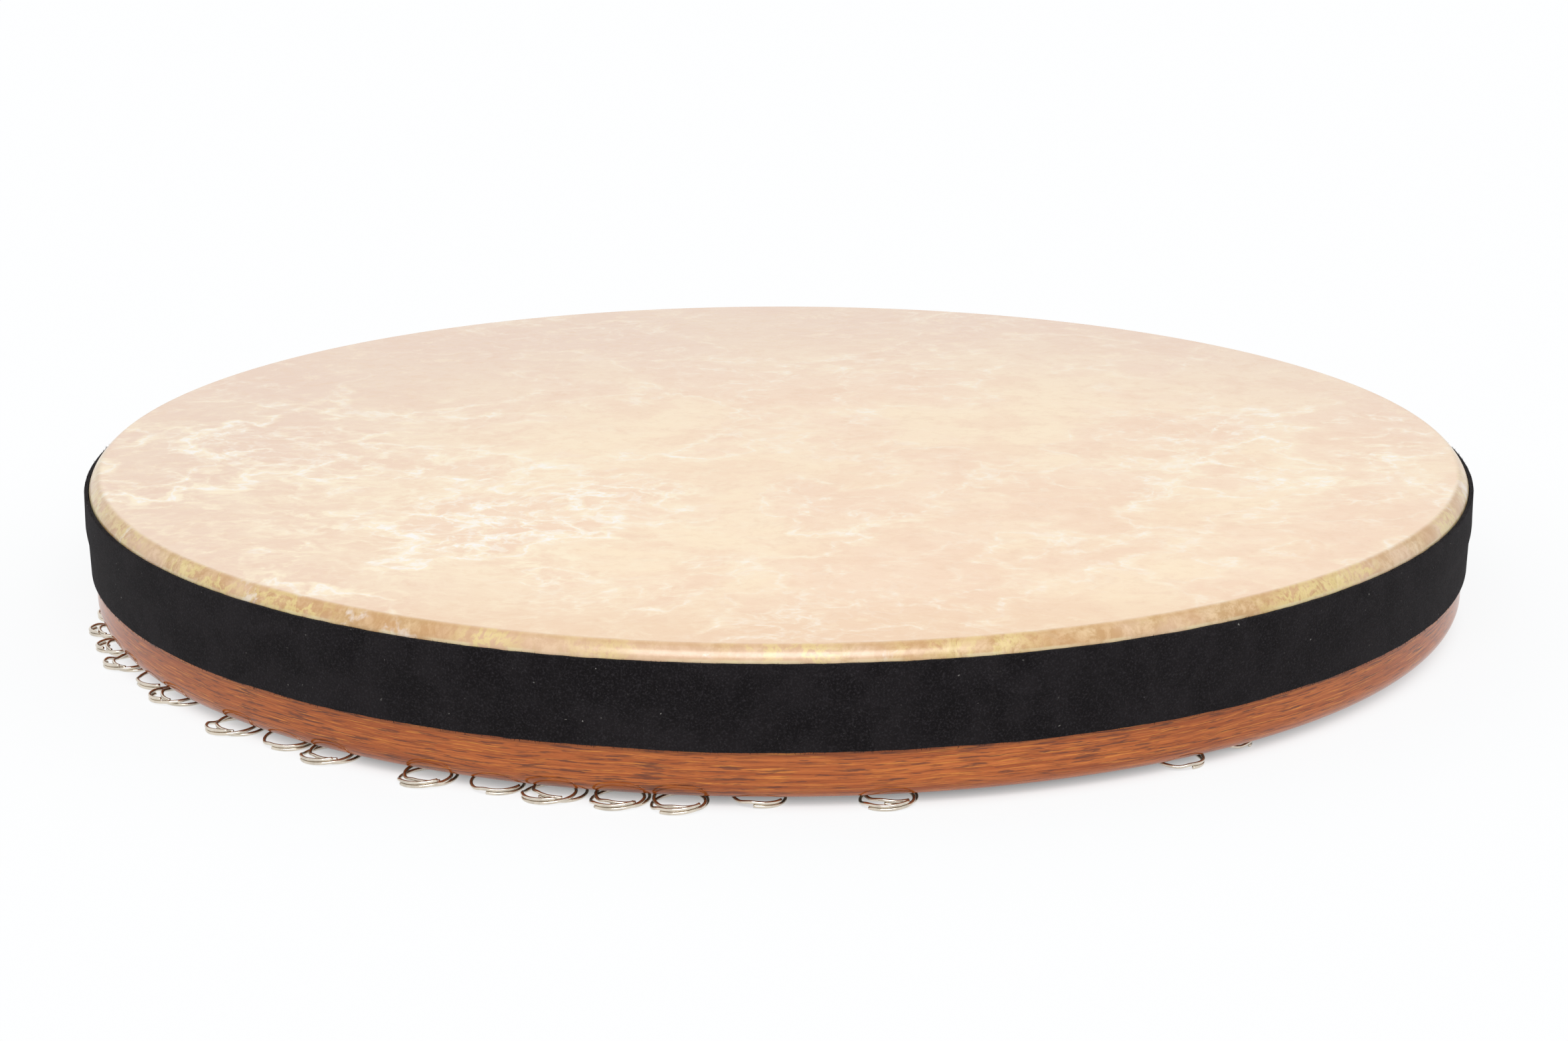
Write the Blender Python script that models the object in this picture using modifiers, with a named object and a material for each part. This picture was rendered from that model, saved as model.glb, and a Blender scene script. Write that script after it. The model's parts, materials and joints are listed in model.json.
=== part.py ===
"""Large frame drum of the daf kind: a bent wood hoop with a stretched film head, a suede
band and chains of wire rings that hang inside the hoop from small screw eyes.

The drum lies head up. Z is its axis, z = 0 is the table, and the end rings that are caught
under the hoop hold it just clear of the table. All lengths are metres.
"""

import math

import bpy
from mathutils import Matrix, Vector

# Hoop
HOOP_DIAMETER = 0.5236
HOOP_WALL = 0.0108
HOOP_DEPTH = 0.0530
BACK_EDGE_OUTER_ROUND = 0.0060
BACK_EDGE_INNER_ROUND = 0.0020
BEARING_CREST = 0.0025
BEARING_INNER_DROP = 0.0060

# Head: a film over a bevelled edge, bonded to a collar
FILM_THICKNESS = 0.0006
BEVEL_RUN = 0.0040
BEVEL_DROP = 0.0055
BEVEL_BULGE = 0.0004
COLLAR_THICKNESS = 0.0012
COLLAR_DEPTH = 0.0150

# Suede band
BAND_THICKNESS = 0.0015
BAND_WIDTH = 0.0305
BAND_EDGE_ROUND = 0.0005

# Rings: one and a bit turns of round wire
RING_DIAMETER = 0.0190
RING_WIRE = 0.0012
RING_OVERLAP = math.radians(45)
RING_RAMP = math.radians(45)

# Screw eyes
EYE_WIRE = 0.0016
EYE_BORE = 0.0048
EYE_STANDOFF = 0.0052
EYE_SHANK = 0.0080
EYE_TIP_SHARE = 0.35

# Chains: one screw eye, one eye ring and one end ring each
CHAINS = 18
FIRST_CHAIN = math.radians(187)
OUTWARD_CHAINS = (1, 2, 3, 4, 5, 7, 11, 13, 15)
OUTWARD_LEAN = math.radians(0)
DRAWN_IN_CHAINS = {5: (math.radians(-12), math.radians(45)), 7: (math.radians(-20), math.radians(60))}
INWARD_LEAN = math.radians(-10)
LAY_ANGLE = math.radians(38)

# Gaps
SEAT_GAP = 0.0003
LINK_GAP = 0.0006
BORE_CLEARANCE = 0.0004

# Facets
TURN_STEPS = 60
ROUND_STEPS = 3
BEVEL_STEPS = 3
RING_STEP = math.radians(22.5)
EYE_LOOP_FROM = math.radians(40)
EYE_LOOP_TO = math.radians(335)
EYE_LOOP_STEPS = 7
BORE_SIDES = 6
WIRE_RESOLUTION = 1
MERGE = 0.00001

# Sizes that follow from the ones above
RING_PITCH = (RING_DIAMETER - RING_WIRE) / 2
RING_RISE = RING_WIRE + SEAT_GAP
LINK_RISE = RING_WIRE + LINK_GAP
HOOP_LIFT = 2 * RING_WIRE + 3 * SEAT_GAP
HOOP_RADIUS = HOOP_DIAMETER / 2
HOOP_BORE = HOOP_RADIUS - HOOP_WALL
COLLAR_BORE = HOOP_RADIUS + SEAT_GAP
COLLAR_RADIUS = COLLAR_BORE + COLLAR_THICKNESS
HEAD_TOP = HOOP_LIFT + HOOP_DEPTH + SEAT_GAP + FILM_THICKNESS
FILM_EDGE = HEAD_TOP - BEVEL_DROP
CREASE_RADIUS = COLLAR_RADIUS - BEVEL_RUN
COLLAR_TOP = FILM_EDGE - FILM_THICKNESS - SEAT_GAP
COLLAR_FOOT = COLLAR_TOP - COLLAR_DEPTH
BAND_TOP = FILM_EDGE
BAND_FOOT = BAND_TOP - BAND_WIDTH
EYE_RADIUS = HOOP_BORE - EYE_STANDOFF
EYE_LOOP = (EYE_BORE + EYE_WIRE) / 2
EYE_RISE = (EYE_BORE - RING_WIRE) / 2 - LINK_GAP
HANG_HEIGHT = RING_WIRE / 2 + SEAT_GAP + 2 * RING_PITCH


def clear_scene():
    for item in list(bpy.data.objects):
        bpy.data.objects.remove(item, do_unlink=True)


def new_collection(name):
    group = bpy.data.collections.new(name)
    bpy.context.scene.collection.children.link(group)
    return group


def new_material(name, color, roughness, metallic=0.0):
    finish = bpy.data.materials.new(name)
    finish.use_nodes = True
    shader = finish.node_tree.nodes["Principled BSDF"]
    shader.inputs["Base Color"].default_value = (*color, 1.0)
    shader.inputs["Roughness"].default_value = roughness
    shader.inputs["Metallic"].default_value = metallic
    return finish


def add_object(name, data, group, finish):
    piece = bpy.data.objects.new(name, data)
    group.objects.link(piece)
    if finish and not data.materials:
        data.materials.append(finish)
    return piece


def arc(centre, radius, start, end, steps):
    """Points on an arc in the (r, z) plane, both ends included."""
    angles = [start + (end - start) * n / steps for n in range(steps + 1)]
    return [(centre[0] + radius * math.cos(a), centre[1] + radius * math.sin(a)) for a in angles]


def turned(name, profile, closed, group, finish):
    """A profile of (r, z) points, down its outer side, turned about the drum's axis."""
    mesh = bpy.data.meshes.new(name)
    edges = [(n, n + 1) for n in range(len(profile) - 1)]
    if closed:
        edges.append((len(profile) - 1, 0))
    mesh.from_pydata([(r, 0.0, z) for r, z in profile], edges, [])
    piece = add_object(name, mesh, group, finish)
    screw = piece.modifiers.new("Turn", "SCREW")
    screw.axis = "Z"
    screw.angle = 2 * math.pi
    screw.steps = TURN_STEPS
    screw.render_steps = TURN_STEPS
    screw.use_smooth_shade = True
    screw.use_merge_vertices = True
    screw.merge_threshold = MERGE
    return piece


def bevel_line(inset):
    """The ends of the head's bevel, set in by a distance square to each face it meets."""
    slope = math.hypot(BEVEL_RUN, BEVEL_DROP)
    top = (CREASE_RADIUS - inset * (slope - BEVEL_RUN) / BEVEL_DROP, HEAD_TOP - inset)
    foot = (COLLAR_RADIUS - inset, FILM_EDGE - inset * (slope - BEVEL_DROP) / BEVEL_RUN)
    return top, foot


def add_hoop(group, finish):
    crest, foot = bevel_line(FILM_THICKNESS + SEAT_GAP)
    top = HOOP_LIFT + HOOP_DEPTH
    fall = (foot[1] - crest[1]) / (foot[0] - crest[0])
    shoulder = crest[1] + fall * (HOOP_RADIUS - crest[0])
    out_round = BACK_EDGE_OUTER_ROUND
    in_round = BACK_EDGE_INNER_ROUND
    out_centre = (HOOP_RADIUS - out_round, HOOP_LIFT + out_round)
    in_centre = (HOOP_BORE + in_round, HOOP_LIFT + in_round)
    profile = [
        (HOOP_BORE, top - BEARING_INNER_DROP),
        (crest[0] - BEARING_CREST, top),
        (crest[0], top),
        (HOOP_RADIUS, shoulder),
        *arc(out_centre, out_round, 0, -math.pi / 2, ROUND_STEPS),
        *arc(in_centre, in_round, -math.pi / 2, -math.pi, ROUND_STEPS - 1),
    ]
    return turned("frame_hoop", profile, True, group, finish)


def add_drumhead(group, finish):
    (crease, top), (rim, edge) = bevel_line(0.0)
    slope = math.hypot(BEVEL_RUN, BEVEL_DROP)
    out = (BEVEL_DROP / slope, BEVEL_RUN / slope)
    profile = [(0.0, top)]
    for step in range(BEVEL_STEPS + 1):
        share = step / BEVEL_STEPS
        bulge = BEVEL_BULGE * 4 * share * (1 - share)
        radius = crease + (rim - crease) * share + bulge * out[0]
        height = top + (edge - top) * share + bulge * out[1]
        profile.append((radius, height))
    film = turned("drumhead", profile, False, group, finish)
    solid = film.modifiers.new("Film", "SOLIDIFY")
    solid.thickness = FILM_THICKNESS
    solid.offset = -1.0
    return film


def add_collar(group, finish):
    profile = [
        (COLLAR_BORE, COLLAR_TOP),
        (COLLAR_RADIUS, COLLAR_TOP),
        (COLLAR_RADIUS, COLLAR_FOOT),
        (COLLAR_BORE, COLLAR_FOOT),
    ]
    return turned("head_collar", profile, True, group, finish)


def add_band(group, finish):
    upper_bore = COLLAR_RADIUS + SEAT_GAP
    lower_bore = HOOP_RADIUS + SEAT_GAP
    upper = upper_bore + BAND_THICKNESS
    lower = lower_bore + BAND_THICKNESS
    step = COLLAR_FOOT - SEAT_GAP
    ease = BAND_EDGE_ROUND
    profile = [
        (upper_bore, BAND_TOP),
        (upper - ease, BAND_TOP),
        (upper, BAND_TOP - ease),
        (upper, step),
        (lower, step - BAND_THICKNESS),
        (lower, BAND_FOOT + ease),
        (lower - ease, BAND_FOOT),
        (lower_bore, BAND_FOOT),
        (lower_bore, step),
        (upper_bore, step),
    ]
    return turned("suede_band", profile, True, group, finish)


def wire_curve(name, points, wire, finish):
    """A round wire along points, each (x, y, z, share of the wire's radius)."""
    curve = bpy.data.curves.new(name, "CURVE")
    curve.dimensions = "3D"
    curve.twist_mode = "Z_UP"
    curve.bevel_depth = wire / 2
    curve.bevel_resolution = WIRE_RESOLUTION
    curve.use_fill_caps = True
    spline = curve.splines.new("POLY")
    spline.points.add(len(points) - 1)
    for point, (x, y, z, share) in zip(spline.points, points):
        point.co = (x, y, z, 1.0)
        point.radius = share
    curve.materials.append(finish)
    return curve


def ring_curve(name, lap_at, finish):
    """A ring in its own XY plane. Its wire runs through the origin, along Y, its centre lies
    at +X, and its two ends lap over each other at the angle lap_at about that centre."""
    start = lap_at - RING_OVERLAP / 2
    end = start + 2 * math.pi + RING_OVERLAP
    lifted = start + 2 * math.pi
    steps = math.ceil((end - start) / RING_STEP)
    points = []
    for n in range(steps + 1):
        angle = start + (end - start) * n / steps
        share = min(max((angle - lifted + RING_RAMP) / RING_RAMP, 0.0), 1.0)
        rise = RING_RISE * share * share * (3 - 2 * share)
        x = RING_PITCH * (1 + math.cos(angle))
        y = RING_PITCH * math.sin(angle)
        points.append((x, y, rise, 1.0))
    return wire_curve(name, points, RING_WIRE, finish)


def eye_curve(finish):
    """A screw eye in its own XY plane: the loop round the origin, the shank along +X."""
    tip = EYE_STANDOFF + EYE_SHANK
    neck = EYE_LOOP + EYE_WIRE
    points = [(tip, 0.0, 0.0, EYE_TIP_SHARE), (tip - 2 * EYE_WIRE, 0.0, 0.0, 1.0), (neck, 0.0, 0.0, 1.0)]
    for n in range(EYE_LOOP_STEPS + 1):
        angle = EYE_LOOP_FROM + (EYE_LOOP_TO - EYE_LOOP_FROM) * n / EYE_LOOP_STEPS
        points.append((EYE_LOOP * math.cos(angle), EYE_LOOP * math.sin(angle), 0.0, 1.0))
    return wire_curve("screw_eye", points, EYE_WIRE, finish)


def basis(x_axis, y_axis, place):
    """A placement whose X and Y run along two square directions."""
    z_axis = x_axis.cross(y_axis)
    rows = Matrix((x_axis, y_axis, z_axis)).transposed().to_4x4()
    return Matrix.Translation(place) @ rows


def eye_ring_matrix(lean):
    """The eye ring in its chain's frame: X is out from the drum's axis, Y along the wall,
    Z up, and the origin is where the ring's wire hangs in the eye."""
    down = Vector((math.sin(lean), 0.0, -math.cos(lean)))
    return basis(down, Vector((0.0, -1.0, 0.0)), Vector())


def end_ring_matrix(lean, lay):
    """The end ring in its chain's frame: it crosses over the eye ring's lowest wire and
    slopes from there to the table."""
    link = eye_ring_matrix(lean) @ Vector((2 * RING_PITCH - LINK_RISE, 0.0, 0.0))
    drop = HANG_HEIGHT + link.z - RING_WIRE / 2
    slope = math.asin(drop / (2 * RING_PITCH))
    flat = Vector((math.cos(lay), math.sin(lay), 0.0))
    along = flat * math.cos(slope) - Vector((0.0, 0.0, math.sin(slope)))
    return basis(along, Vector((-math.sin(lay), math.cos(lay), 0.0)), link)


def chain_angle(number):
    return FIRST_CHAIN + (number - 1) * 2 * math.pi / CHAINS


def chain_pose(number):
    """The lean of a chain's eye ring and the way its end ring lies."""
    if number in DRAWN_IN_CHAINS:
        return DRAWN_IN_CHAINS[number]
    if number in OUTWARD_CHAINS:
        return OUTWARD_LEAN, LAY_ANGLE
    return INWARD_LEAN, math.pi - LAY_ANGLE


def chain_matrix(number):
    angle = chain_angle(number)
    place = Vector((EYE_RADIUS * math.cos(angle), EYE_RADIUS * math.sin(angle), HANG_HEIGHT))
    return Matrix.Translation(place) @ Matrix.Rotation(angle, 4, "Z")


def add_bore_cutter(group):
    """One pilot bore in the hoop for each screw eye's shank."""
    depth = EYE_SHANK + BORE_CLEARANCE
    mouth = BORE_CLEARANCE + HOOP_WALL / 4
    verts = []
    faces = []
    for number in range(1, CHAINS + 1):
        seat = chain_matrix(number) @ Matrix.Translation((EYE_STANDOFF, 0.0, EYE_RISE))
        first = len(verts)
        for x in (-mouth, depth):
            for side in range(BORE_SIDES):
                angle = 2 * math.pi * side / BORE_SIDES
                radius = EYE_WIRE / 2 + BORE_CLEARANCE
                verts.append(seat @ Vector((x, radius * math.cos(angle), radius * math.sin(angle))))
        near = list(range(first, first + BORE_SIDES))
        far = [n + BORE_SIDES for n in near]
        faces += [near[::-1], far]
        for n in range(BORE_SIDES):
            m = (n + 1) % BORE_SIDES
            faces.append((near[n], near[m], far[m], far[n]))
    mesh = bpy.data.meshes.new("eye_bores")
    mesh.from_pydata(verts, [], faces)
    cutter = add_object("eye_bores", mesh, group, None)
    cutter.hide_render = True
    cutter.display_type = "WIRE"
    return cutter


def add_chain(number, group, curves):
    hanger = bpy.data.objects.new(f"chain_{number:02d}", None)
    group.objects.link(hanger)
    hanger.matrix_world = chain_matrix(number)
    lean, lay = chain_pose(number)
    eye_place = Matrix.Translation((0.0, 0.0, EYE_RISE)) @ Matrix.Rotation(math.pi / 2, 4, "X")
    eye_ring_place = eye_ring_matrix(lean)
    end_ring_place = end_ring_matrix(lean, lay)
    eye = add_object(f"screw_eye_{number:02d}", curves["eye"], group, None)
    eye.parent = hanger
    eye.matrix_local = eye_place
    eye_ring = add_object(f"eye_ring_{number:02d}", curves["eye_ring"], group, None)
    eye_ring.parent = hanger
    eye_ring.matrix_local = eye_ring_place
    end_ring = add_object(f"end_ring_{number:02d}", curves["end_ring"], group, None)
    end_ring.parent = eye_ring
    end_ring.matrix_local = eye_ring_place.inverted() @ end_ring_place


def main():
    clear_scene()
    drum = new_collection("frame_drum")
    cutters = new_collection("frame_drum_cutters")
    wood = new_material("lacquered_wood", (0.34, 0.10, 0.03), 0.25)
    film = new_material("marbled_film", (0.85, 0.66, 0.48), 0.4)
    card = new_material("head_collar", (0.55, 0.42, 0.28), 0.6)
    suede = new_material("black_suede", (0.012, 0.012, 0.014), 0.95)
    nickel = new_material("nickel_wire", (0.70, 0.63, 0.52), 0.25, 1.0)
    steel = new_material("screw_eye_wire", (0.62, 0.56, 0.46), 0.35, 1.0)
    hoop = add_hoop(drum, wood)
    add_drumhead(drum, film)
    add_collar(drum, card)
    add_band(drum, suede)
    curves = {
        "eye": eye_curve(steel),
        "eye_ring": ring_curve("eye_ring", math.pi / 2, nickel),
        "end_ring": ring_curve("end_ring", 0.0, nickel),
    }
    for number in range(1, CHAINS + 1):
        add_chain(number, drum, curves)
    bores = hoop.modifiers.new("Eye bores", "BOOLEAN")
    bores.operation = "DIFFERENCE"
    bores.object = add_bore_cutter(cutters)


main()
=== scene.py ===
"""Looks of a large frame drum: a marbled film head, a suede band, a lacquered wood hoop and
chains of wire rings.

The pieces sit on the CAD frame. Lengths are metres, z = 0 is the table, the head faces up
and the camera stands at -Y.
"""

import json
import math
import random

import bpy
import numpy as np
from mathutils import Matrix, Vector, noise


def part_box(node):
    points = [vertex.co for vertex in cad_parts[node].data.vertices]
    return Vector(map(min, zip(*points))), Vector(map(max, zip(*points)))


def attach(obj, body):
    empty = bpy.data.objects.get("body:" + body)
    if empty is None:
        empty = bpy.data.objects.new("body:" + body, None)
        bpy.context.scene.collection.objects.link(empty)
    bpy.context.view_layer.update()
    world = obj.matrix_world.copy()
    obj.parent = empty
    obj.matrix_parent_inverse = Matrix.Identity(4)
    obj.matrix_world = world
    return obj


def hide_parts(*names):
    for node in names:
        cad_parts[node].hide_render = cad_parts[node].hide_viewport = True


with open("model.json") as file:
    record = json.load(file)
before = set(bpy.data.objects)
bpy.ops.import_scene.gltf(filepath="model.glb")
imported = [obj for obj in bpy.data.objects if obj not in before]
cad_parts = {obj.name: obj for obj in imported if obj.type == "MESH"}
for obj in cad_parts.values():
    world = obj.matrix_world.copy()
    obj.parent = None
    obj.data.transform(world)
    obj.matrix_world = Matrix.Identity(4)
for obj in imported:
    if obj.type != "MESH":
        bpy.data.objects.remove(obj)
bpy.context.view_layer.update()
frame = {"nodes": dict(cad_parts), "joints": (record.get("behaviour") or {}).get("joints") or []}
scene = bpy.context.scene

# Sizes taken from the CAD nodes
HOOP_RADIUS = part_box("frame_hoop")[1].x
HOOP_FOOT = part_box("frame_hoop")[0].z
HOOP_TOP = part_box("frame_hoop")[1].z
HEAD_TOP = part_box("drumhead")[1].z
BAND_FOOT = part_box("suede_band")[0].z
BAND_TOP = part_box("suede_band")[1].z
BAND_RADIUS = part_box("suede_band")[1].x
COLLAR_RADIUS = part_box("head_collar")[1].x
COLLAR_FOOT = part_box("head_collar")[0].z

# Sizes repeated from the part
HOOP_WALL = 0.0108
BEARING_CREST = 0.0025
BEARING_INNER_DROP = 0.0060
BACK_EDGE_INNER_ROUND = 0.0020
FILM_THICKNESS = 0.0006
BEVEL_RUN = 0.0040
BAND_THICKNESS = 0.0015
BAND_EDGE_ROUND = 0.0005
RING_PITCH = 0.0089
RING_WIRE = 0.0012
LINK_RISE = 0.0018
EYE_WIRE = 0.0016
EYE_LOOP = 0.0032
EYE_RISE = 0.0012
EYE_STANDOFF = 0.0052
SEAT_GAP = 0.0003

HOOP_BORE = HOOP_RADIUS - HOOP_WALL
CREASE_RADIUS = COLLAR_RADIUS - BEVEL_RUN

# Sizes of the finer shapes
CREST_INSET = 0.0005
CREST_ROUND = 0.0005
BEARING_OUTER_DROP = 0.0044
SHOULDER_INNER_ROUND = 0.0010
SHOULDER_OUTER_ROUND = 0.0006
BACK_EDGE_OUTER_ROUND = 0.0082
BEVEL_BULGE = 0.0006
CREASE_ROUND = 0.0016
FILM_TUCK = 0.0007
FILM_MIDDLE = 0.01
STEP_RISE = 0.0030
STEP_FALL = 0.0015
STEP_DEPTH = 0.0009
STEP_ROUND = 0.0100
BAND_FOOT_ROUND = 0.0006
BAND_SKIN = 0.0008
FUZZ_COUNT = 2600
FUZZ_LENGTH = 0.0011
FUZZ_DEPTH = 0.0006
LAP_RISE = 1.05 * RING_WIRE
LAP_RAMP = math.radians(40)
EYE_RING_LAP = math.radians(90)
EYE_RING_OVERLAP = math.radians(50)
SECOND_RING_LAP = math.radians(28)
SECOND_RING_OVERLAP = math.radians(56)
TAIL_GAP = 0.0016
TAIL_CLEARANCE = 1.06 * RING_WIRE
TAIL_LAP = math.radians(18)
TAIL_OVERLAP = math.radians(95)
EYE_SHANK_IN_WALL = 0.004
EYE_NECK = ((0.0047, 0.0), (0.0042, 0.0003), (0.0036, 0.0012))

# Facets
TURN_STEPS = 360
WIRE_SIDES = 10
RING_POINTS = 64


class Tone:
    """A socket of a material's node tree, with arithmetic on it."""

    def __init__(self, socket):
        self.socket = socket

    def node(self, kind, inputs, output=0, **settings):
        """Adds a node of any type: its settings first, then its inputs by name or number."""
        tree = self.socket.id_data
        made = tree.nodes.new(kind)
        for key, value in settings.items():
            setattr(made, key, value)
        for key, value in inputs.items():
            if isinstance(value, Tone):
                tree.links.new(value.socket, made.inputs[key])
            else:
                made.inputs[key].default_value = value
        return Tone(made.outputs[output])

    def calc(self, operation, first, second=0.0):
        return self.node("ShaderNodeMath", {0: first, 1: second}, operation=operation)

    def __add__(self, other):
        return self.calc("ADD", self, other)

    def __radd__(self, other):
        return self.calc("ADD", other, self)

    def __sub__(self, other):
        return self.calc("SUBTRACT", self, other)

    def __rsub__(self, other):
        return self.calc("SUBTRACT", other, self)

    def __mul__(self, other):
        return self.calc("MULTIPLY", self, other)

    def __rmul__(self, other):
        return self.calc("MULTIPLY", other, self)

    def __truediv__(self, other):
        return self.calc("DIVIDE", self, other)

    def __rtruediv__(self, other):
        return self.calc("DIVIDE", other, self)

    def __abs__(self):
        return self.calc("ABSOLUTE", self)

    def ramp(self, low, high, start=0.0, end=1.0):
        """Runs smoothly from start to end as the value goes from low to high."""
        inputs = {"Value": self, "From Min": low, "From Max": high, "To Min": start, "To Max": end}
        return self.node("ShaderNodeMapRange", inputs, interpolation_type="SMOOTHSTEP")

    def blend(self, first, second):
        """The first colour where the value is 0 and the second where it is 1."""
        return self.node("ShaderNodeMix", {0: self, 6: first, 7: second}, 2, data_type="RGBA")

    def scaled(self, x, y, z):
        return self.node("ShaderNodeVectorMath", {0: self, 1: (x, y, z)}, operation="MULTIPLY")

    def moved(self, other):
        return self.node("ShaderNodeVectorMath", {0: self, 1: other}, operation="ADD")

    def reach(self):
        """The length of a vector."""
        return self.node("ShaderNodeVectorMath", {0: self}, 1, operation="LENGTH")

    def away(self, x, y, z):
        """How far a place is from a point."""
        return self.moved((-x, -y, -z)).reach()

    def axis(self, number):
        return self.node("ShaderNodeSeparateXYZ", {0: self}, number)

    def cloud(self, scale, detail=2.0, roughness=0.5, output=0):
        inputs = {"Vector": self, "Scale": scale, "Detail": detail, "Roughness": roughness}
        return self.node("ShaderNodeTexNoise", inputs, output)

    def folded(self):
        """Turns a cloud into crests, 1 along the lines where it has its middle value."""
        return 1 - abs(self - 0.5) * 2

    def warped(self, scale, amount, detail=3.0, roughness=0.55):
        """A place pushed about by a cloud."""
        push = self.cloud(scale, detail, roughness, 1).moved((-0.5, -0.5, -0.5))
        return self.moved(push.scaled(amount, amount, amount))

    def dots(self, scale):
        """The distance to random points."""
        return self.node("ShaderNodeTexVoronoi", {"Vector": self, "Scale": scale})


def rgb(red, green, blue):
    return (red, green, blue, 1.0)


class Finish:
    """A material with its surface shader and its texture places."""

    def __init__(self, name, **constants):
        self.material = bpy.data.materials.new(name)
        self.material.use_nodes = True
        self.tree = self.material.node_tree
        self.shader = self.tree.nodes["Principled BSDF"]
        for key, value in constants.items():
            self.shader.inputs[key.replace("_", " ")].default_value = value
        places = self.tree.nodes.new("ShaderNodeTexCoord")
        self.place = Tone(places.outputs["Object"])
        self.strip = Tone(places.outputs["UV"])

    def paint(self, name, tone):
        self.tree.links.new(tone.socket, self.shader.inputs[name])

    def bump(self, height, strength, depth):
        inputs = {"Height": height, "Strength": strength, "Distance": depth}
        self.paint("Normal", height.node("ShaderNodeBump", inputs))


def film_finish():
    """Peach film with cream clouds and branching pale veins, golden where it bends down, with
    painted shade towards its edge and along the crease.
    """
    film = Finish("marbled_film", Roughness=0.24, Specular_IOR_Level=0.7)
    place = film.place
    radius = place.scaled(1, 1, 0).reach()
    bevel = (radius - CREASE_RADIUS) / BEVEL_RUN
    drift = place.warped(9, 0.035, 3)
    crinkle = drift.warped(48, 0.010, 3, 0.58)
    busy = place.away(-0.17, -0.10, HEAD_TOP).ramp(0.05, 0.24, 0.95, 0.36)
    busy = busy + place.away(0.20, -0.02, HEAD_TOP).ramp(0.02, 0.12, 0.2, 0.0)
    # Painted shade: the mask below grows from a point near the middle out to the film's edge,
    # standing in for the light falling off there
    painted_shade_rim = place.away(0.06, -0.07, HEAD_TOP).ramp(0.13, 0.32)
    front = place.axis(1).ramp(-0.18, -0.255)

    rose = drift.cloud(14, 5, 0.6).ramp(0.38, 0.62)
    base = rose.blend(rgb(0.99, 0.775, 0.51), rgb(0.945, 0.685, 0.47))
    tan = crinkle.moved((1.9, 0, 0)).cloud(30, 5, 0.6).ramp(0.45, 0.60)
    base = (tan * 0.5).blend(base, rgb(0.90, 0.595, 0.385))
    # Painted shade, darker towards the film's edge
    base = (painted_shade_rim * 0.65).blend(base, rgb(0.79, 0.555, 0.43))
    base = (front * 0.7).blend(base, rgb(0.86, 0.575, 0.345))
    flake = crinkle.cloud(90, 7, 0.72)
    base = (flake.ramp(0.50, 0.66) * 0.3).blend(base, rgb(0.82, 0.53, 0.33))
    base = (flake.ramp(0.46, 0.34) * 0.35).blend(base, rgb(1.0, 0.82, 0.56))
    speck = place.warped(120, 0.006).cloud(240, 4, 0.65).ramp(0.52, 0.66)
    base = (speck * 0.2).blend(base, rgb(0.82, 0.52, 0.29))

    crest = crinkle.cloud(14, 6, 0.54).folded()
    twig = crinkle.moved((0, 5.3, 0)).cloud(31, 5, 0.54).folded()
    hair = crinkle.moved((2.7, 8.1, 0)).cloud(75, 4, 0.54).folded()
    wisp = crinkle.moved((6.1, 3.3, 0)).cloud(170, 4, 0.6).folded().ramp(0.80, 0.98)
    broken = crinkle.cloud(80, 4, 0.6).ramp(0.36, 0.58, 0.4, 1.0)
    patch = place.warped(14, 0.05).cloud(9, 4, 0.6).ramp(0.34, 0.60, 0.25, 1.0)
    sparse = drift.cloud(13, 4, 0.6).ramp(0.40, 0.64)
    glow = crest.ramp(0.90, 0.99) * patch + twig.ramp(0.87, 0.99) * (sparse * 0.6 + 0.25)
    glow = (glow + hair.ramp(0.80, 0.98) * 0.45) * broken + wisp * 0.15
    # The same painted shade dims the cream clouds and the veins towards the edge
    base = (glow * busy * (0.95 - painted_shade_rim * 0.25)).ramp(0.0, 1.0).blend(base, rgb(1.0, 0.84, 0.58))
    veins = crest.ramp(0.966, 0.998) * patch + twig.ramp(0.945, 0.995) * sparse * 0.8
    veins = (veins + hair.ramp(0.90, 0.99) * sparse * 0.6) * busy * broken
    base = (veins * (0.85 - painted_shade_rim * 0.2)).ramp(0.0, 1.0).blend(base, rgb(0.99, 0.95, 0.90))

    grain = place.warped(45, 0.012)
    mottle = grain.cloud(260, 5, 0.7).ramp(0.38, 0.64)
    gold = mottle.blend(rgb(0.52, 0.315, 0.135), rgb(0.72, 0.51, 0.29))
    deep = grain.cloud(30, 3).ramp(0.44, 0.60)
    gold = (deep * 0.55).blend(gold, rgb(0.54, 0.29, 0.12))
    blush = grain.moved((1.7, 0, 0)).cloud(26, 3).ramp(0.46, 0.62)
    gold = (blush * 0.5).blend(gold, rgb(0.72, 0.50, 0.36))
    lime = grain.cloud(110, 6, 0.66).folded().ramp(0.84, 0.98) * grain.cloud(24, 3).ramp(0.42, 0.60)
    gold = (lime * 0.6).blend(gold, rgb(0.78, 0.66, 0.27))
    pearl = grain.moved((0, 0, 4.2)).cloud(46, 5, 0.65).ramp(0.60, 0.68)
    gold = (pearl * 0.6).blend(gold, rgb(0.84, 0.77, 0.72))
    gold = (veins * 0.5).ramp(0.0, 1.0).blend(gold, rgb(0.90, 0.84, 0.62))
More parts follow.
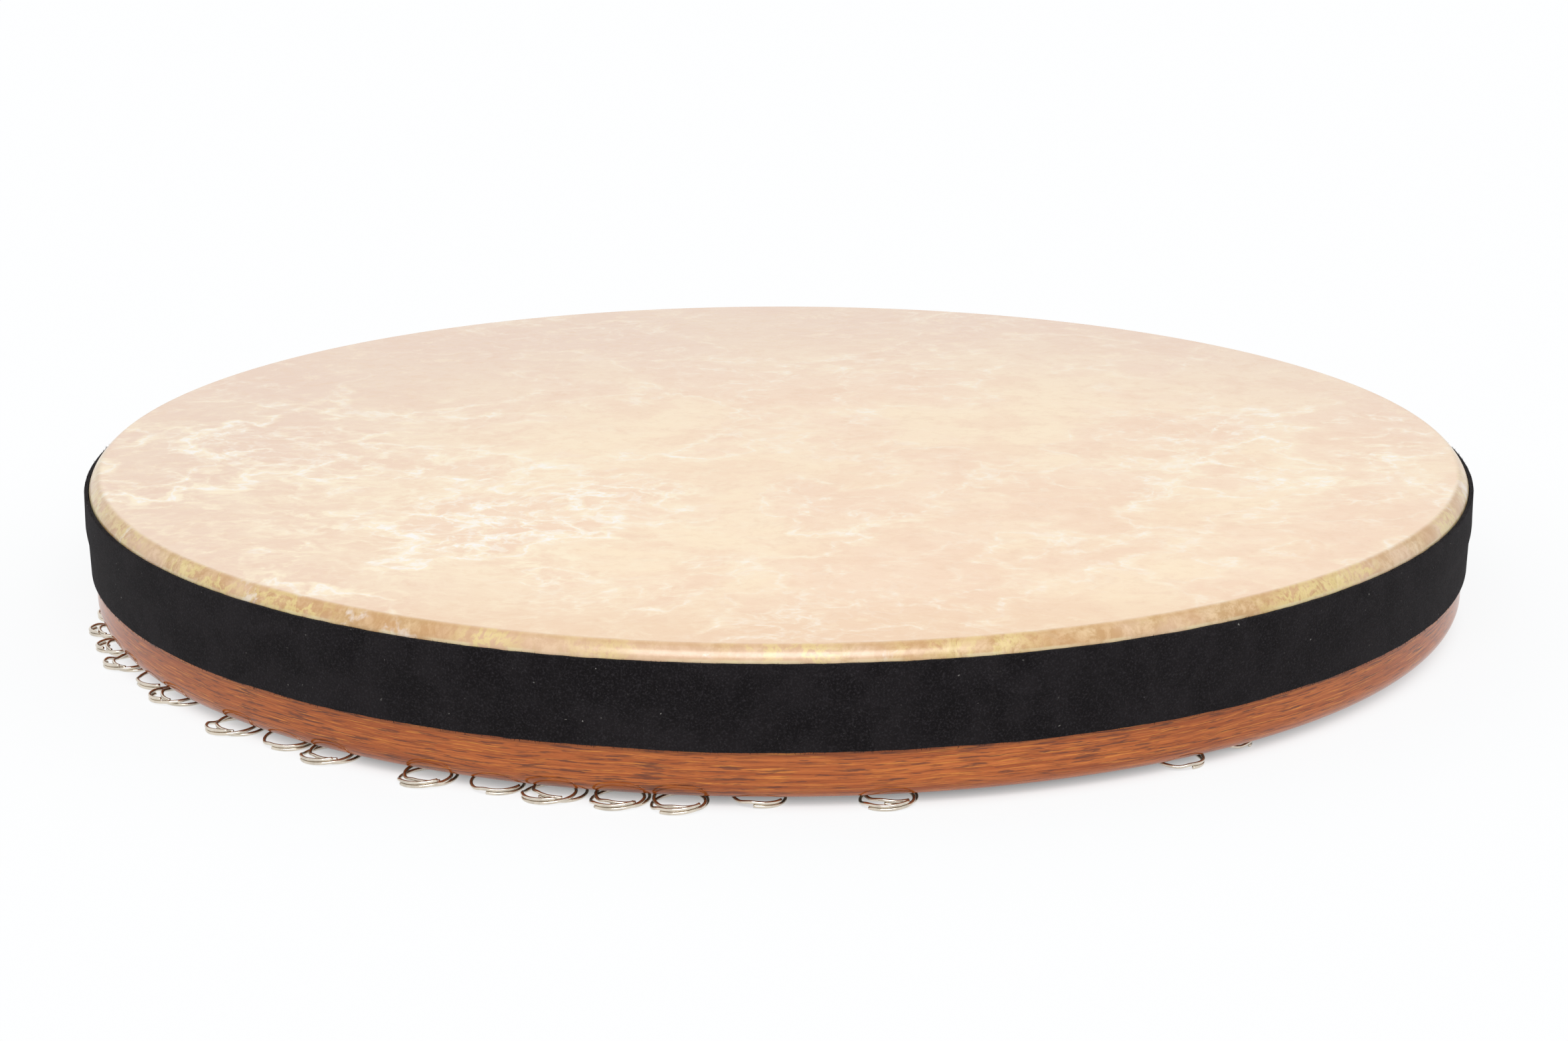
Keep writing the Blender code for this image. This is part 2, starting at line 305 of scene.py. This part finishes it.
    # Painted shade: a darker brown line just below the crease, where the film bends over
    painted_crease_shade = abs(bevel - 0.16).ramp(0.04, 0.26, 1, 0)
    gold = (painted_crease_shade * 0.3).blend(gold, rgb(0.55, 0.33, 0.13))
    foot = bevel.ramp(0.88, 0.96) * grain.cloud(60, 3).ramp(0.44, 0.62, 0.05, 0.5)
    gold = foot.blend(gold, rgb(0.80, 0.73, 0.46))
    ahead = place.axis(1).ramp(0.02, -0.08, 0.4, 1.0)
    film.paint("Base Color", (bevel.ramp(-0.35, 0.22) * ahead).blend(base, gold))
    film.bump(place.cloud(900, 2), 0.02, 0.0002)
    return film.material


def suede_finish():
    """Black napped suede with a little lint, more of it towards the left end, where it is partly
    painted sheen.
    """
    suede = Finish("black_suede", Roughness=1.0, Sheen_Weight=0.03, Sheen_Roughness=0.5)
    suede.shader.inputs["Specular IOR Level"].default_value = 0.12
    suede.shader.inputs["Sheen Tint"].default_value = rgb(0.75, 0.72, 0.74)
    place = suede.place
    nap = place.warped(40, 0.02).cloud(60, 5, 0.6).ramp(0.36, 0.66)
    fibre = place.cloud(1400, 4, 0.75)
    black = nap.blend(rgb(0.0056, 0.0046, 0.0053), rgb(0.0120, 0.0102, 0.0114))
    black = fibre.ramp(0.46, 0.72).blend(black, rgb(0.028, 0.025, 0.028))
    # Dust and painted sheen: more specks towards the left end, partly real lint and partly a painted
    # stand-in for the grey sheen of the suede seen edge-on there
    left_dust_and_sheen = place.axis(0).ramp(-0.265, -0.18, 0.10, 0.0)
    chance = (place.cloud(34, 3, 0.6) + left_dust_and_sheen).ramp(0.42, 0.62)
    worn = place.cloud(520, 2).ramp(0.44, 0.68)
    dust = place.warped(900, 0.0015).cloud(1500, 3, 0.7).ramp(0.60, 0.74) * chance * 0.10
    lint = place.warped(700, 0.002).dots(230).ramp(0.04, 0.085, 1, 0) * chance * worn
    fluff = place.warped(500, 0.006).dots(80).ramp(0.02, 0.04, 1, 0)
    fluff = fluff * place.cloud(30, 2).ramp(0.5, 0.6)
    suede.paint("Base Color", (dust + lint + fluff * 0.6).blend(black, rgb(0.30, 0.29, 0.27)))
    suede.bump(fibre, 0.6, 0.0004)
    return suede.material


def wood_finish():
    """Orange-brown wood under clear lacquer, with dark flecks along the hoop."""
    wood = Finish("lacquered_wood", Roughness=0.5, Specular_IOR_Level=0.0,
                  Coat_Weight=0.7, Coat_Roughness=0.04)
    strip = wood.strip.warped(22, 0.0022, 3)
    streak = strip.scaled(11, 800, 1).cloud(1, 5, 0.65).ramp(0.34, 0.66)
    body = streak.blend(rgb(0.34, 0.074, 0.014), rgb(0.56, 0.158, 0.034))
    shade = wood.strip.scaled(6, 60, 1).cloud(1, 3).ramp(0.35, 0.65)
    body = (shade * 0.3).blend(body, rgb(0.30, 0.068, 0.014))
    amber = strip.moved((0.31, 0.17, 0)).scaled(50, 1900, 1).cloud(1, 3, 0.6).ramp(0.54, 0.66)
    body = (amber * 0.8).blend(body, rgb(0.68, 0.25, 0.042))
    fine = strip.moved((0.53, 0.07, 0)).scaled(95, 3000, 1).cloud(1, 3, 0.65).ramp(0.50, 0.62)
    body = (fine * 0.7).blend(body, rgb(0.19, 0.046, 0.012))
    dense = wood.strip.scaled(9, 40, 1).cloud(1, 2).ramp(0.35, 0.62, 0.03, -0.03)
    fleck = (strip.scaled(75, 1250, 1).cloud(1, 3, 0.6) - dense).ramp(0.56, 0.63)
    wood.paint("Base Color", (fleck * 0.8).blend(body, rgb(0.115, 0.034, 0.018)))
    wood.bump(1 - fleck, 0.05, 0.0003)
    return wood.material


def wire_finish(name, color, roughness):
    """Plated wire with a little tarnish."""
    wire = Finish(name, Metallic=1.0)
    dull = wire.place.cloud(240, 4, 0.6).ramp(0.4, 0.7)
    dark = rgb(*(0.72 * value for value in color))
    wire.paint("Base Color", (dull * 0.7).blend(rgb(*color), dark))
    wire.paint("Roughness", dull * 0.14 + roughness)
    return wire.material


def collar_finish():
    """The plain tan ring behind the band."""
    collar = Finish("head_collar", Roughness=0.6)
    grain = collar.place.cloud(300, 3).ramp(0.3, 0.7)
    collar.paint("Base Color", grain.blend(rgb(0.50, 0.38, 0.25), rgb(0.58, 0.45, 0.30)))
    return collar.material


def filleted(corners, steps):
    """A closed outline of (r, z, radius) corners, each rounded by its radius."""
    points = []
    for n, (r, z, radius) in enumerate(corners):
        here = Vector((r, z))
        if radius == 0:
            points.append(here)
            continue
        back = (Vector(corners[n - 1][:2]) - here).normalized()
        ahead = (Vector(corners[(n + 1) % len(corners)][:2]) - here).normalized()
        half = back.angle(ahead) / 2
        centre = here + (back + ahead).normalized() * radius / math.sin(half)
        first = here + back * radius / math.tan(half) - centre
        last = here + ahead * radius / math.tan(half) - centre
        points += [centre + radius * first.slerp(last, k / steps) for k in range(steps + 1)]
    return points


def divided(points, longest):
    """A closed outline with no side longer than a length."""
    result = []
    for here, ahead in zip(points, points[1:] + points[:1]):
        count = max(1, math.ceil((ahead - here).length / longest))
        result += [here.lerp(ahead, k / count) for k in range(count)]
    return result


def turned(name, points, steps, closed=True, shift=None, sharp=40):
    """An outline of (r, z) points, down its outer side, turned about the drum's axis.

    An open outline runs from the middle of the top to the middle of the underside. The UV map
    is a flat strip in metres with its seam at the back."""
    angles = [math.pi / 2 + 2 * math.pi * s / steps for s in range(steps)]
    verts = []
    for angle in angles:
        for point in points:
            r, z = shift(angle, point) if shift else point
            verts.append((r * math.cos(angle), r * math.sin(angle), z))
    count = len(points)
    spans = count if closed else count - 1
    along = [0.0]
    for n in range(spans):
        along.append(along[-1] + (points[(n + 1) % count] - points[n]).length)
    pace = 2 * math.pi * HOOP_RADIUS / steps
    faces, uvs = [], []
    for s in range(steps):
        here, ahead = s * count, (s + 1) % steps * count
        for n in range(spans):
            m = (n + 1) % count
            faces.append((here + n, here + m, ahead + m, ahead + n))
            near, far = s * pace, (s + 1) * pace
            uvs += [(near, along[n]), (near, along[n + 1]), (far, along[n + 1]), (far, along[n])]
    if not closed:
        faces.append([s * count for s in range(steps)])
        faces.append([s * count + count - 1 for s in reversed(range(steps))])
        uvs += [(0.0, 0.0)] * (2 * steps)
    mesh = bpy.data.meshes.new(name)
    mesh.from_pydata(verts, [], faces)
    layer = mesh.uv_layers.new(name="strip")
    layer.data.foreach_set("uv", np.array(uvs, dtype=np.float32).ravel())
    mesh.shade_smooth()
    mesh.set_sharp_from_angle(angle=math.radians(sharp))
    return mesh


def wires(name, paths, wire):
    """Round wires along paths of points, each with slightly eased cut ends."""
    verts, faces = [], []
    sides = WIRE_SIDES
    turns = np.linspace(0, 2 * math.pi, sides, endpoint=False)
    ease = wire * 0.12
    for path in paths:
        ahead = path[1] - path[0]
        behind = path[-2] - path[-1]
        path = np.vstack([
            path[:1],
            path[:1] + ahead / np.linalg.norm(ahead) * ease,
            path[1:-1],
            path[-1:] + behind / np.linalg.norm(behind) * ease,
            path[-1:],
        ])
        tangents = np.gradient(path, axis=0)
        tangents /= np.linalg.norm(tangents, axis=1)[:, None]
        side = np.cross(tangents[0], (0.31, 0.17, 0.93))
        first = len(verts)
        for n, (point, tangent) in enumerate(zip(path, tangents)):
            side = side - tangent * side.dot(tangent)
            side /= np.linalg.norm(side)
            other = np.cross(tangent, side)
            radius = wire / 2 * (0.72 if n in (0, len(path) - 1) else 1.0)
            circle = np.outer(np.cos(turns), side) + np.outer(np.sin(turns), other)
            verts.extend(point + radius * circle)
        for n in range(len(path) - 1):
            low = first + n * sides
            for k in range(sides):
                m = (k + 1) % sides
                faces.append((low + k, low + m, low + sides + m, low + sides + k))
        faces.append(list(range(first, first + sides))[::-1])
        faces.append(list(range(len(verts) - sides, len(verts))))
    mesh = bpy.data.meshes.new(name)
    mesh.from_pydata(verts, [], faces)
    mesh.shade_smooth()
    mesh.set_sharp_from_angle(angle=math.radians(50))
    return mesh


def add_piece(name, mesh, body, material, nodes=()):
    """Puts a mesh on a body, in place of the CAD nodes that it stands for."""
    piece = bpy.data.objects.new(name, mesh)
    scene.collection.objects.link(piece)
    mesh.materials.append(material)
    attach(piece, body)
    if nodes:
        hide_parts(*nodes)
    return piece


def add_hoop(material):
    """The hoop, with its bearing edge under the film and its rounded back edge."""
    crest = CREASE_RADIUS - CREST_INSET
    outline = filleted([
        (HOOP_BORE, HOOP_TOP - BEARING_INNER_DROP, SHOULDER_INNER_ROUND),
        (crest - BEARING_CREST, HOOP_TOP, CREST_ROUND),
        (crest, HOOP_TOP, CREST_ROUND),
        (HOOP_RADIUS, HOOP_TOP - BEARING_OUTER_DROP, SHOULDER_OUTER_ROUND),
        (HOOP_RADIUS, HOOP_FOOT, BACK_EDGE_OUTER_ROUND),
        (HOOP_BORE, HOOP_FOOT, BACK_EDGE_INNER_ROUND),
    ], 12)
    mesh = turned("wood_hoop", divided(outline, 0.006), TURN_STEPS)
    add_piece("wood_hoop", mesh, "drum", material, ["frame_hoop"])


def bowed(start, end, bulge, steps):
    """Corners from start to end along a shallow arc, both ends included."""
    start, end = Vector(start), Vector(end)
    out = Vector((start.y - end.y, end.x - start.x)).normalized()
    shares = [k / steps for k in range(steps + 1)]
    return [(*(start.lerp(end, k) + out * bulge * 4 * k * (1 - k)), 0) for k in shares]


def add_head(material):
    """The film, flat over the hoop, bent down over the bevel and tucked behind the band."""
    tuck = BAND_TOP - FILM_TUCK
    skin = FILM_THICKNESS
    crease, *bevel = bowed((CREASE_RADIUS, HEAD_TOP), (COLLAR_RADIUS, BAND_TOP), BEVEL_BULGE, 9)
    outline = filleted([
        (FILM_MIDDLE, HEAD_TOP, 0),
        (*crease[:2], CREASE_ROUND),
        *bevel,
        (COLLAR_RADIUS, tuck, 0),
        (COLLAR_RADIUS - skin, tuck, 0),
        (COLLAR_RADIUS - skin, BAND_TOP, 0),
        (CREASE_RADIUS - skin / 2, HEAD_TOP - skin, CREASE_ROUND / 2),
        (FILM_MIDDLE, HEAD_TOP - skin, 0),
    ], 9)
    mesh = turned("head_film", outline, TURN_STEPS, closed=False)
    add_piece("head_film", mesh, "drum", material, ["drumhead"])


def band_wave(angle, point):
    """The band's slightly wavy surface, and its uneven edges."""
    r, z = point
    way = Vector((math.cos(angle), math.sin(angle), 0.0))
    swell = noise.noise(way * 9 + Vector((0, 0, z * 60))) * 0.00012
    swell += noise.noise(way * 30 + Vector((0, 0, z * 110))) * 0.00006
    edge = noise.noise(way * 40) * 0.00015 + noise.noise(way * 140) * 0.00010
    if z < COLLAR_FOOT:
        edge += noise.noise(way * 7) * 0.00055
    below_step = z < COLLAR_FOOT - 0.002
    outer = r > (HOOP_RADIUS if below_step else COLLAR_RADIUS) + BAND_SKIN
    near_edge = max(0.0, 1 - min(z - BAND_FOOT, BAND_TOP - z) / 0.001)
    return (r + swell if outer else r), z + edge * near_edge


def edge_fuzz():
    """Loose fibres along the band's two cut edges: thin spikes with a three-sided root."""
    chance = random.Random(11)
    foot_radius = HOOP_RADIUS + SEAT_GAP + BAND_THICKNESS
    edges = [(BAND_RADIUS - FUZZ_DEPTH, BAND_TOP - 0.0001, 1),
             (foot_radius - FUZZ_DEPTH, BAND_FOOT + 0.0001, -1)]
    corners = [math.radians(turn) for turn in (0, 120, 240)]
    verts, faces = [], []
    for r, z, up in edges:
        for _ in range(FUZZ_COUNT):
            angle = chance.uniform(0, 2 * math.pi)
            out = Vector((math.cos(angle), math.sin(angle), 0))
            along = Vector((-out.y, out.x, 0))
            root = out * (r + chance.uniform(-0.0004, 0.0004)) + Vector((0, 0, z))
            length = chance.uniform(0.2, 1.0) ** 2 * FUZZ_LENGTH
            tip = root + length * Vector((0, 0, up))
            tip += length * (out * chance.uniform(-0.1, 0.6) + along * chance.uniform(-0.9, 0.9))
            wide = chance.uniform(0.00006, 0.00012)
            first = len(verts)
            for turn in corners:
                verts.append(root + wide * (math.cos(turn) * out + math.sin(turn) * along))
            verts.append(tip)
            sides = [(first, first + 1), (first + 1, first + 2), (first + 2, first)]
            faces += [(low, high, first + 3)[::up] for low, high in sides]
            faces.append((first + 2, first + 1, first)[::up])
    mesh = bpy.data.meshes.new("suede_fuzz")
    mesh.from_pydata(verts, [], faces)
    return mesh


def add_band(material):
    """The suede strip, with a soft step where it passes over the collar's lower edge."""
    upper = COLLAR_RADIUS + SEAT_GAP
    lower = HOOP_RADIUS + SEAT_GAP
    step = COLLAR_FOOT - SEAT_GAP
    thick = BAND_THICKNESS
    outline = filleted([
        (upper, BAND_TOP, 0),
        (BAND_RADIUS, BAND_TOP, BAND_EDGE_ROUND),
        (BAND_RADIUS, step + STEP_RISE, STEP_ROUND),
        (BAND_RADIUS - STEP_DEPTH, step - STEP_FALL, STEP_ROUND),
        (lower + thick, BAND_FOOT, BAND_FOOT_ROUND),
        (lower, BAND_FOOT, 0),
        (lower, step, 0),
        (upper, step, 0),
    ], 5)
    mesh = turned("suede_wrap", divided(outline, 0.0022), 2 * TURN_STEPS, shift=band_wave, sharp=60)
    band = add_piece("suede_wrap", mesh, "drum", material, ["suede_band"])
    fuzz = add_piece("suede_fuzz", edge_fuzz(), "drum", material)


def basis(x_axis, y_axis, place):
    """A placement whose X and Y run along two square directions."""
    rows = Matrix((x_axis, y_axis, x_axis.cross(y_axis))).transposed().to_4x4()
    return Matrix.Translation(place) @ rows


class Chain:
    """A screw eye, the ring that hangs in it and the rings linked to that one.

    In a chain's own frame X is out from the drum's axis, Y along the wall and Z up, and the
    origin is where the first ring hangs in the eye."""

    def __init__(self, angle, lean, lay):
        place = Vector((HANG_RADIUS * math.cos(angle), HANG_RADIUS * math.sin(angle), HANG_HEIGHT))
        self.frame = Matrix.Translation(place) @ Matrix.Rotation(angle, 4, "Z")
        self.down = Vector((math.sin(lean), 0.0, -math.cos(lean)))
        self.link = self.down * (2 * RING_PITCH - LINK_RISE)
        self.link_height = HANG_HEIGHT + self.link.z
        self.slope = math.asin((self.link_height - RING_WIRE / 2) / (2 * RING_PITCH))
        self.out = Vector((math.cos(lay), math.sin(lay), 0.0))
        self.across = Vector((-math.sin(lay), math.cos(lay), 0.0))

    def ring(self, matrix, lap_at, overlap):
        """The wire of a ring whose centre and plane a placement gives."""
        start = lap_at - overlap / 2
        angles = np.linspace(start, start + 2 * math.pi + overlap, round(RING_POINTS + overlap * 10))
        share = np.clip((angles - start - 2 * math.pi + LAP_RAMP) / LAP_RAMP, 0, 1)
        rise = LAP_RISE * share * share * (3 - 2 * share)
        flat = np.stack([RING_PITCH * np.cos(angles), RING_PITCH * np.sin(angles), rise], axis=1)
        placed = np.array(self.frame @ matrix)
        return flat @ placed[:3, :3].T + placed[:3, 3]

    def eye_ring(self):
        matrix = basis(self.down, Vector((0.0, -1.0, 0.0)), self.down * RING_PITCH)
        return self.ring(matrix, EYE_RING_LAP, EYE_RING_OVERLAP)

    def end_ring(self, lap_at, overlap):
        along = self.out * math.cos(self.slope) - Vector((0, 0, math.sin(self.slope)))
        matrix = basis(along, self.across, self.link + along * RING_PITCH)
        return self.ring(matrix, lap_at, overlap)

    def tail_shift(self, aside):
        """How far a third ring lies from the second one: out past the hung ring, and aside
        along the wall."""
        middle = RING_PITCH * math.cos(self.slope)
        return Vector((RING_PITCH + TAIL_GAP - middle * self.out.x, aside, 0.0))

    def tail_ring(self, aside):
        """A third ring, linked through the second one and lying on the table. The two cross at
        two places: it passes under the second ring where that one is high and over it where
        that one is low."""
        middle = RING_PITCH * math.cos(self.slope)
        shift = self.tail_shift(aside)
        away = shift.normalized()
        along = Vector((-away.y, away.x, 0.0))
        turn = math.copysign(1.0, along.dot(self.out))
        along *= turn
        spread = shift.length
        square = RING_PITCH ** 2 - spread ** 2 / 4
        half = math.sqrt(square)
        fall = math.tan(self.slope)
        between = middle + shift.dot(self.out) / 2
        apart = half * along.dot(self.out)
        near = self.link_height - fall * (between - apart) - TAIL_CLEARANCE
        far = self.link_height - fall * (between + apart) + TAIL_CLEARANCE
        climb = (far - near) / (2 * half)
        spare = (near + far) / 2 - RING_WIRE / 2
        excess = (RING_PITCH * climb) ** 2 - spare ** 2
        root = math.sqrt((spare * spread) ** 2 - 4 * square * excess)
        tilt = (spare * spread - root) / (2 * square)
        normal = (Vector((0, 0, 1)) - along * climb - away * tilt).normalized()
        centre = self.link + self.out * middle + shift
        centre.z = (near + far) / 2 + tilt * spread / 2 - HANG_HEIGHT
        y_axis = normal.cross(along).normalized()
        matrix = basis(y_axis.cross(normal), y_axis, centre)
        return self.ring(matrix, TAIL_LAP - turn * math.pi / 2, TAIL_OVERLAP)

    def eye(self):
        """The wire of a screw eye: its shank in the wall, then its loop."""
        points = [(EYE_STANDOFF + EYE_SHANK_IN_WALL, 0.0), (EYE_STANDOFF, 0.0), *EYE_NECK]
        for degrees in range(34, 344, 8):
            angle = math.radians(degrees)
            points.append((EYE_LOOP * math.cos(angle), EYE_LOOP * math.sin(angle)))
        placed = [self.frame @ Vector((x, 0.0, y + EYE_RISE)) for x, y in points]
        return np.array([tuple(point) for point in placed])


joints = {joint["name"]: joint for joint in frame["joints"]}
chain_names = sorted(name[:-6] for name in joints if name.endswith("_swing"))
hang_point = Vector(joints[chain_names[0] + "_swing"]["pos_m"])
HANG_HEIGHT = hang_point.z
HANG_RADIUS = hang_point.xy.length


def jointed_chain(name):
    """A chain of the CAD frame, read back from its two joints."""
    swing, flip = joints[name + "_swing"], joints[name + "_flip"]
    hang = Vector(swing["pos_m"])
    angle = math.atan2(hang.y, hang.x)
    turn = Matrix.Rotation(-angle, 3, "Z")
    link = turn @ (Vector(flip["pos_m"]) - hang)
    across = turn @ Vector(flip["axis"])
    return angle, math.atan2(link.x, -link.z), math.atan2(-across.x, across.y)


# Angles in degrees from a jointed chain to the loose ones that follow it
LOOSE_STEPS = (5, 10, 15)

# How the loose chains at the front lie, by their angle round the hoop in degrees: how far the eye
# sits off that angle, how far the hung ring leans out and which way the lying ring points from
# straight out, all in degrees, and how far aside a third ring lies in millimetres, 0 for none
FRONT_CHAINS = {
    192: (0, 1, 38, -1.0), 197: (0, 0, 38, -2.0), 202: (-0.5, 5, 36.5, -0.6),
    212: (0, -1, 40, -2.4), 217: (0, -4, 140, 0), 222: (-0.5, 5, 36.5, -1.2),
    232: (0, 0, 40, -0.6), 237: (-0.2, -12, 143, 0), 242: (-0.5, 5, 36.5, -0.2),
    252: (0, 2, 42, -2.4), 257: (0, 2, 38, -0.8), 262: (-0.5, 5, 36.5, -0.2),
    272: (0, -4, 140, 0), 277: (0, -8, 44, -1.6), 302: (-0.6, -10, 36.5, 0),
    312: (0.45, -3, 142, 0), 317: (0, -12, 143, 0), 322: (-0.3, -13, 143.5, 0),
}

# Angles of the loose chains at the back whose lying rings point outward
BACK_OUTWARD = (12, 32, 37, 57, 72, 77, 97, 112, 132, 137, 157)


def loose_pose(degrees, step, next_lay, chance):
    """How a loose chain lies: its eye's offset, its lean and its lay in radians, and its aside."""
    if degrees in FRONT_CHAINS:
        off, lean, lay, aside = FRONT_CHAINS[degrees]
    elif step == LOOSE_STEPS[-1]:
        # Leaves the next jointed ring room to turn over
        off, aside = -0.5, 0
        lean, lay = (5, 36.5) if math.cos(next_lay) > 0 else (-12, 143.5)
    elif degrees in BACK_OUTWARD:
        off, aside = 0, chance.choice((-2.2, 0, -0.8))
        lean, lay = chance.uniform(-4, 2), chance.uniform(36, 42)
    else:
        off, aside = -0.2, 0
        lean, lay = chance.uniform(-13, -10), 180 - chance.uniform(36, 38)
    return math.radians(off), math.radians(lean), math.radians(lay), aside


def lying_rings(chain, aside, chance):
    """The rings of a chain that lie on the table."""
    if aside:
        shift = chain.tail_shift(aside / 1000)
        outward = math.atan2(shift.dot(chain.across), shift.dot(chain.out))
        ring = chain.end_ring(outward + SECOND_RING_LAP, SECOND_RING_OVERLAP)
        return [ring, chain.tail_ring(aside / 1000)]
    lap_at, overlap = chance.uniform(-30, 30), chance.uniform(60, 130)
    return [chain.end_ring(math.radians(lap_at), math.radians(overlap))]


def add_chains(ring_material, eye_material):
    """The jointed chains, each followed by its loose ones, and the screw eyes of them all."""
    chance = random.Random(4)
    eyes = []
    poses = [jointed_chain(name) for name in chain_names]
    for n, name in enumerate(chain_names):
        angle, lean, lay = poses[n]
        next_lay = poses[(n + 1) % len(poses)][2]
        tag = name[-2:]
        degrees = round(math.degrees(angle)) % 360
        chain = Chain(angle, lean, lay)
        eyes.append(chain.eye())
        mesh = wires("hung_ring_" + tag, [chain.eye_ring()], RING_WIRE)
        add_piece("hung_ring_" + tag, mesh, "eye_ring_" + tag, ring_material,
                  ["eye_ring_" + tag])
        mesh = wires("lying_ring_" + tag, lying_rings(chain, 0, chance), RING_WIRE)
        add_piece("lying_ring_" + tag, mesh, "end_ring_" + tag, ring_material,
                  ["end_ring_" + tag])
        paths = []
        for step in LOOSE_STEPS:
            beside = (degrees + step) % 360
            off, lean, lay, aside = loose_pose(beside, step, next_lay, chance)
            chain = Chain(angle + math.radians(step) + off, lean, lay)
            eyes.append(chain.eye())
            paths += [chain.eye_ring(), *lying_rings(chain, aside, chance)]
        mesh = wires("loose_rings_" + tag, paths, RING_WIRE)
        add_piece("loose_rings_" + tag, mesh, "drum", ring_material)
    mesh = wires("screw_eyes", eyes, EYE_WIRE)
    nodes = [node for node in frame["nodes"] if node.startswith("screw_eye")]
    add_piece("screw_eyes", mesh, "drum", eye_material, nodes)


def seen_rays(tree):
    """1 for the rays that show the background: from the camera, a mirror or clear material."""
    rays = tree.nodes.new("ShaderNodeLightPath").outputs
    camera, mirror, clear = "Is Camera Ray", "Is Glossy Ray", "Is Transmission Ray"
    return Tone(rays[camera]) + Tone(rays[mirror]) + Tone(rays[clear])


# The table, and the distances from the drum's axis over which its shade gives way to white
TABLE_REACH = 30.0
SHADE_FROM = 0.241
SHADE_TO = 0.265
SHADE_END = 0.40


def add_floor():
    """A white table that keeps the drum's shadow and runs out into the backdrop."""
    mesh = bpy.data.meshes.new("table")
    reach = TABLE_REACH
    corners = [(-reach, -reach, 0), (reach, -reach, 0), (reach, reach, 0), (-reach, reach, 0)]
    mesh.from_pydata(corners, [], [(0, 1, 2, 3)])
    floor = bpy.data.objects.new("table", mesh)
    scene.collection.objects.link(floor)
    white = Finish("white_table", Roughness=0.9, Specular_IOR_Level=0.0)
    white.shader.inputs["Base Color"].default_value = rgb(0.95, 0.955, 0.965)
    distance = white.place.reach()
    away = distance.ramp(SHADE_FROM, SHADE_TO, 0.18, 0.88)
    away = away + distance.ramp(SHADE_TO, SHADE_END, 0.0, 0.12)
    glow = away.node("ShaderNodeEmission", {"Color": rgb(0.99, 0.995, 1.0), "Strength": 1.0})
    surface = Tone(white.shader.outputs[0])
    shown = seen_rays(white.tree) * away
    mixed = away.node("ShaderNodeMixShader", {0: shown, 1: surface, 2: glow})
    white.tree.links.new(mixed.socket, white.tree.nodes["Material Output"].inputs["Surface"])
    mesh.materials.append(white.material)


SOFTBOX_PLACE = Vector((0.0, -2.60, 2.60))


def add_light():
    """One large softbox in front of the drum and above it, in a white room."""
    box = bpy.data.lights.new("softbox", "AREA")
    box.shape = "RECTANGLE"
    box.size = 2.8
    box.size_y = 1.2
    box.energy = 74.0
    lamp = bpy.data.objects.new("softbox", box)
    lamp.location = SOFTBOX_PLACE
    lamp.rotation_euler = (-SOFTBOX_PLACE).to_track_quat("-Z", "Y").to_euler()
    scene.collection.objects.link(lamp)
    world = bpy.data.worlds.new("studio")
    scene.world = world
    world.use_nodes = True
    tree = world.node_tree
    room = tree.nodes["Background"]
    room.inputs["Color"].default_value = rgb(1.0, 1.0, 1.0)
    room.inputs["Strength"].default_value = 0.59
    seen = seen_rays(tree)
    backdrop = seen.node("ShaderNodeBackground", {"Color": rgb(1, 1, 1), "Strength": 1.0})
    mixed = seen.node("ShaderNodeMixShader", {0: seen, 1: Tone(room.outputs[0]), 2: backdrop})
    tree.links.new(mixed.socket, tree.nodes["World Output"].inputs["Surface"])


CAMERA_PLACE = Vector((0.0, -1.4912, 0.4338))
CAMERA_YAW = 0.0013
CAMERA_PITCH = 0.2657
CAMERA_ROLL = -0.0009
CAMERA_LENS = 91.34


def add_camera():
    """The camera of the main view. Its turns are in radians and its lens in millimetres."""
    data = bpy.data.cameras.new("camera")
    data.sensor_fit = "HORIZONTAL"
    data.sensor_width = 36.0
    data.lens = CAMERA_LENS
    data.clip_end = 100.0
    camera = bpy.data.objects.new("camera", data)
    scene.collection.objects.link(camera)
    ahead = Vector((math.sin(CAMERA_YAW) * math.cos(CAMERA_PITCH),
                    math.cos(CAMERA_YAW) * math.cos(CAMERA_PITCH), -math.sin(CAMERA_PITCH)))
    right = Vector((math.cos(CAMERA_YAW), -math.sin(CAMERA_YAW), 0.0))
    turn = Matrix.Rotation(-CAMERA_ROLL, 3, ahead)
    right = turn @ right
    camera.matrix_world = basis(right, right.cross(ahead), CAMERA_PLACE)
    scene.camera = camera


def main():
    scene.view_settings.view_transform = "Standard"
    add_hoop(wood_finish())
    add_head(film_finish())
    add_band(suede_finish())
    frame["nodes"]["head_collar"].data.materials.clear()
    frame["nodes"]["head_collar"].data.materials.append(collar_finish())
    add_chains(wire_finish("ring_wire", (0.72, 0.65, 0.55), 0.13),
               wire_finish("eye_wire", (0.70, 0.62, 0.50), 0.22))
    add_floor()
    add_light()
    add_camera()


main()
